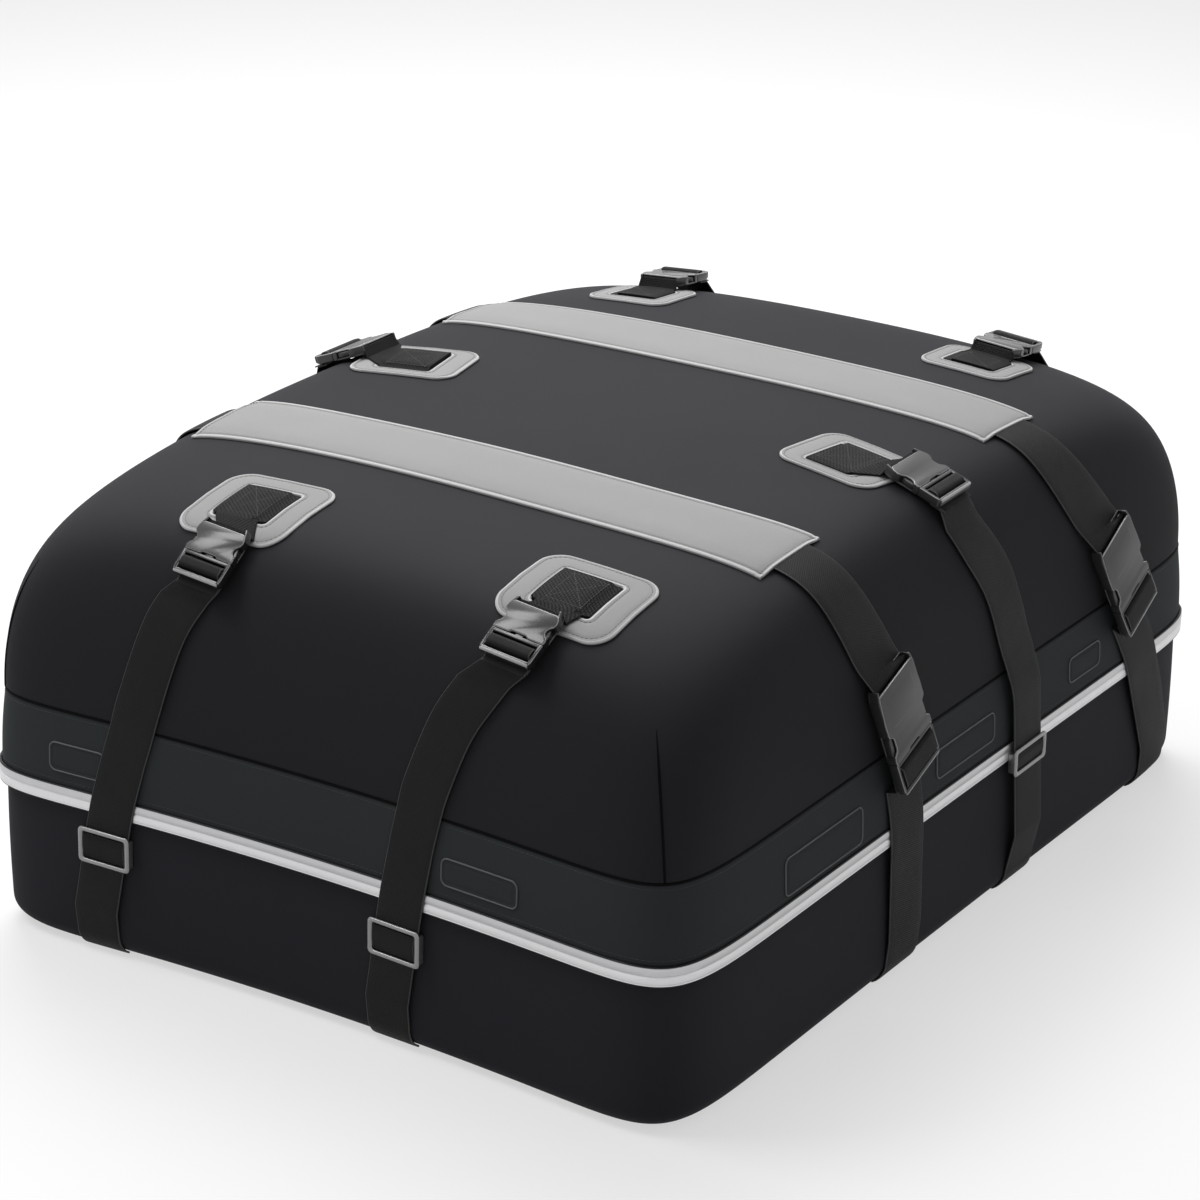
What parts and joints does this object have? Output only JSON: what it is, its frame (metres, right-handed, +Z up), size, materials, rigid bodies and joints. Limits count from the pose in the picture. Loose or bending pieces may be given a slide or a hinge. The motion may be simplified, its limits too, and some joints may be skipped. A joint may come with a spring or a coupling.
{
  "type": "roof cargo bag",
  "caption": "Soft rectangular car roof cargo bag, packed full and closed, with a domed lid, a storm flap over its zip, and lashing straps with side-release buckles.",
  "frame": {"origin": "at floor level under the middle of the bag", "axes": "+Z up; +Y from the front end to the back end, along the bag's length; +X to the bag's right side"},
  "size_m": [0.7934, 0.9876, 0.4431],
  "materials": {
    "shell_fabric": "coated waterproof cloth, dark charcoal, satin",
    "grey_fabric": "coated cloth, light grey, matte",
    "reflective_tape": "silver reflective tape",
    "black_webbing": "woven webbing, black",
    "zip_black": "black moulded teeth on woven tape",
    "slider_metal": "black painted metal",
    "buckle_plastic": "moulded plastic, near black, glossy",
    "adjuster_plastic": "moulded plastic, near black, glossy"
  },
  "bodies": {
    "bag": {"tub": "shell_fabric", "lid": "shell_fabric", "storm_flap": "shell_fabric", "reflective_strip": "reflective_tape", "zip_chain": "zip_black", "grey_band_front": "grey_fabric", "grey_band_back": "grey_fabric", "band_webbing_front": "black_webbing", "band_webbing_back": "black_webbing", "buckle_housing_front_left": "buckle_plastic", "strap_front_left": "black_webbing", "patch_front_left": "grey_fabric", "patch_webbing_front_left": "black_webbing", "buckle_housing_front_right": "buckle_plastic", "strap_front_right": "black_webbing", "patch_front_right": "grey_fabric", "patch_webbing_front_right": "black_webbing", "buckle_housing_back_left": "buckle_plastic", "strap_back_left": "black_webbing", "patch_back_left": "grey_fabric", "patch_webbing_back_left": "black_webbing", "buckle_housing_back_right": "buckle_plastic", "strap_back_right": "black_webbing", "patch_back_right": "grey_fabric", "patch_webbing_back_right": "black_webbing", "buckle_housing_right_front": "buckle_plastic", "strap_right_front": "black_webbing", "buckle_housing_right_middle": "buckle_plastic", "strap_right_middle": "black_webbing", "patch_right_middle": "grey_fabric", "patch_webbing_right_middle": "black_webbing", "buckle_housing_right_back": "buckle_plastic", "strap_right_back": "black_webbing", "buckle_housing_left_front": "buckle_plastic", "strap_left_front": "black_webbing", "buckle_housing_left_middle": "buckle_plastic", "strap_left_middle": "black_webbing", "patch_left_middle": "grey_fabric", "patch_webbing_left_middle": "black_webbing", "buckle_housing_left_back": "buckle_plastic", "strap_left_back": "black_webbing"},
    "latch_front_left": {"buckle_latch_front_left": "buckle_plastic"},
    "adjuster_front_left": {"strap_adjuster_front_left": "adjuster_plastic"},
    "latch_front_right": {"buckle_latch_front_right": "buckle_plastic"},
    "adjuster_front_right": {"strap_adjuster_front_right": "adjuster_plastic"},
    "latch_back_left": {"buckle_latch_back_left": "buckle_plastic"},
    "adjuster_back_left": {"strap_adjuster_back_left": "adjuster_plastic"},
    "latch_back_right": {"buckle_latch_back_right": "buckle_plastic"},
    "adjuster_back_right": {"strap_adjuster_back_right": "adjuster_plastic"},
    "latch_right_front": {"buckle_latch_right_front": "buckle_plastic"},
    "latch_right_middle": {"buckle_latch_right_middle": "buckle_plastic"},
    "adjuster_right_middle": {"strap_adjuster_right_middle": "adjuster_plastic"},
    "latch_right_back": {"buckle_latch_right_back": "buckle_plastic"},
    "latch_left_front": {"buckle_latch_left_front": "buckle_plastic"},
    "latch_left_middle": {"buckle_latch_left_middle": "buckle_plastic"},
    "adjuster_left_middle": {"strap_adjuster_left_middle": "adjuster_plastic"},
    "latch_left_back": {"buckle_latch_left_back": "buckle_plastic"},
    "slider_front": {"zip_slider_front": "slider_metal"},
    "slider_back": {"zip_slider_back": "slider_metal"}
  },
  "joints": [
    {"name": "latch_slide_front_left", "type": "slide", "parent": "bag", "child": "latch_front_left", "axis": [-0.0781, -0.7443, -0.6632], "range_m": [0, 0.021]},
    {"name": "adjuster_slide_front_left", "type": "slide", "parent": "bag", "child": "adjuster_front_left", "axis": [-0.2137, 0.0097, -0.9769], "range_m": [-0.005, 0.028]},
    {"name": "latch_slide_front_right", "type": "slide", "parent": "bag", "child": "latch_front_right", "axis": [-0.0965, -0.8138, -0.5731], "range_m": [0, 0.021]},
    {"name": "adjuster_slide_front_right", "type": "slide", "parent": "bag", "child": "adjuster_front_right", "axis": [-0.1742, 0.03, -0.9843], "range_m": [-0.005, 0.028]},
    {"name": "latch_slide_back_left", "type": "slide", "parent": "bag", "child": "latch_back_left", "axis": [-0.008, 0.9944, -0.1058], "range_m": [0, 0.021]},
    {"name": "adjuster_slide_back_left", "type": "slide", "parent": "bag", "child": "adjuster_back_left", "axis": [-0.0418, -0.0226, -0.9989], "range_m": [-0.005, 0.028]},
    {"name": "latch_slide_back_right", "type": "slide", "parent": "bag", "child": "latch_back_right", "axis": [0.008, 0.9944, -0.1058], "range_m": [0, 0.021]},
    {"name": "adjuster_slide_back_right", "type": "slide", "parent": "bag", "child": "adjuster_back_right", "axis": [0.0418, -0.0226, -0.9989], "range_m": [-0.005, 0.028]},
    {"name": "latch_slide_right_front", "type": "slide", "parent": "bag", "child": "latch_right_front", "axis": [0.1265, 0.3293, -0.9357], "range_m": [0, 0.034]},
    {"name": "latch_slide_right_middle", "type": "slide", "parent": "bag", "child": "latch_right_middle", "axis": [0.9349, 0.02, -0.3544], "range_m": [0, 0.024]},
    {"name": "adjuster_slide_right_middle", "type": "slide", "parent": "bag", "child": "adjuster_right_middle", "axis": [0.0003, 0.1154, -0.9933], "range_m": [-0.04, 0.05]},
    {"name": "latch_slide_right_back", "type": "slide", "parent": "bag", "child": "latch_right_back", "axis": [0.126, 0.4591, -0.8794], "range_m": [0, 0.034]},
    {"name": "latch_slide_left_front", "type": "slide", "parent": "bag", "child": "latch_left_front", "axis": [-0.1265, 0.3293, -0.9357], "range_m": [0, 0.034]},
    {"name": "latch_slide_left_middle", "type": "slide", "parent": "bag", "child": "latch_left_middle", "axis": [-0.9349, 0.02, -0.3544], "range_m": [0, 0.024]},
    {"name": "adjuster_slide_left_middle", "type": "slide", "parent": "bag", "child": "adjuster_left_middle", "axis": [-0.0003, 0.1154, -0.9933], "range_m": [-0.04, 0.05]},
    {"name": "latch_slide_left_back", "type": "slide", "parent": "bag", "child": "latch_left_back", "axis": [-0.126, 0.4591, -0.8794], "range_m": [0, 0.034]},
    {"name": "slider_slide_front", "type": "slide", "parent": "bag", "child": "slider_front", "axis": [0, -1, 0], "range_m": [0, 0.15]},
    {"name": "slider_slide_back", "type": "slide", "parent": "bag", "child": "slider_back", "axis": [0, 1, 0], "range_m": [0, 0.15]}
  ]
}
